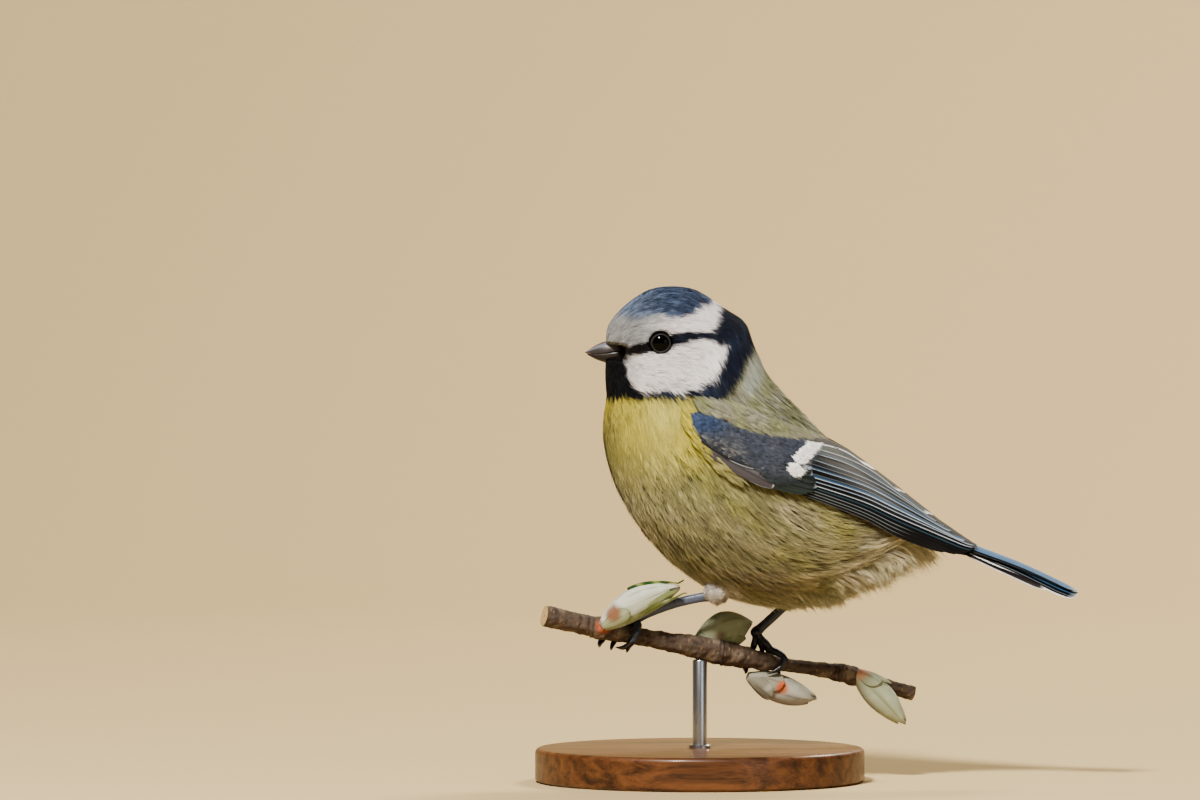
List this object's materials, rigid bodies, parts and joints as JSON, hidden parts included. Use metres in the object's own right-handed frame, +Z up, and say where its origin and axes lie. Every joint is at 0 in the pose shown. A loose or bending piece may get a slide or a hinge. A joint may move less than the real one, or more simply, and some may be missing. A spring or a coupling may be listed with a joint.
{
  "type": "blue tit",
  "caption": "Life-size blue tit perched on a short cut twig, head level, wings folded, on a plain round display stand.",
  "frame": {"origin": "centre of the display base's underside, straight below the rod", "axes": "+X towards the tail, -X the way the bird looks, -Y the bird's left side, +Z up"},
  "size_m": [0.1118, 0.068, 0.1023],
  "materials": {
    "head_plumage": "soft short feathers, blue crown, white cheek, dark eye-stripe and collar",
    "body_plumage": "soft loose feathers, yellow breast, olive flanks, grey-green back",
    "leg_plumage": "soft pale feathers",
    "wing_feathers": "smooth blue-grey and black vanes with pale edges",
    "tail_feathers": "smooth blue and black vanes with pale edges",
    "horn": "smooth dark horn with a soft sheen",
    "eye": "wet, glossy, near black",
    "leg_skin": "scaly blue-grey skin with dark claws",
    "bark": "rough thin bark",
    "bud": "downy grey-green bud scales",
    "base_wood": "oiled dark hardwood",
    "rod_metal": "plain satin steel"
  },
  "bodies": {
    "root": {"head": "head_plumage", "neck": "body_plumage", "trunk": "body_plumage", "thigh_left": "leg_plumage", "thigh_right": "leg_plumage", "bill_upper": "horn", "bill_lower": "horn", "eye_left": "eye", "eye_right": "eye", "wing_left": "wing_feathers", "wing_right": "wing_feathers", "tail": "tail_feathers", "tarsus_left": "leg_skin", "tarsus_right": "leg_skin", "foot_left": "leg_skin", "foot_right": "leg_skin", "twig": "bark", "bud_front": "bud", "bud_back": "bud", "bud_low": "bud", "bud_right": "bud", "stand_base": "base_wood", "stand_rod": "rod_metal"}
  },
  "joints": []
}
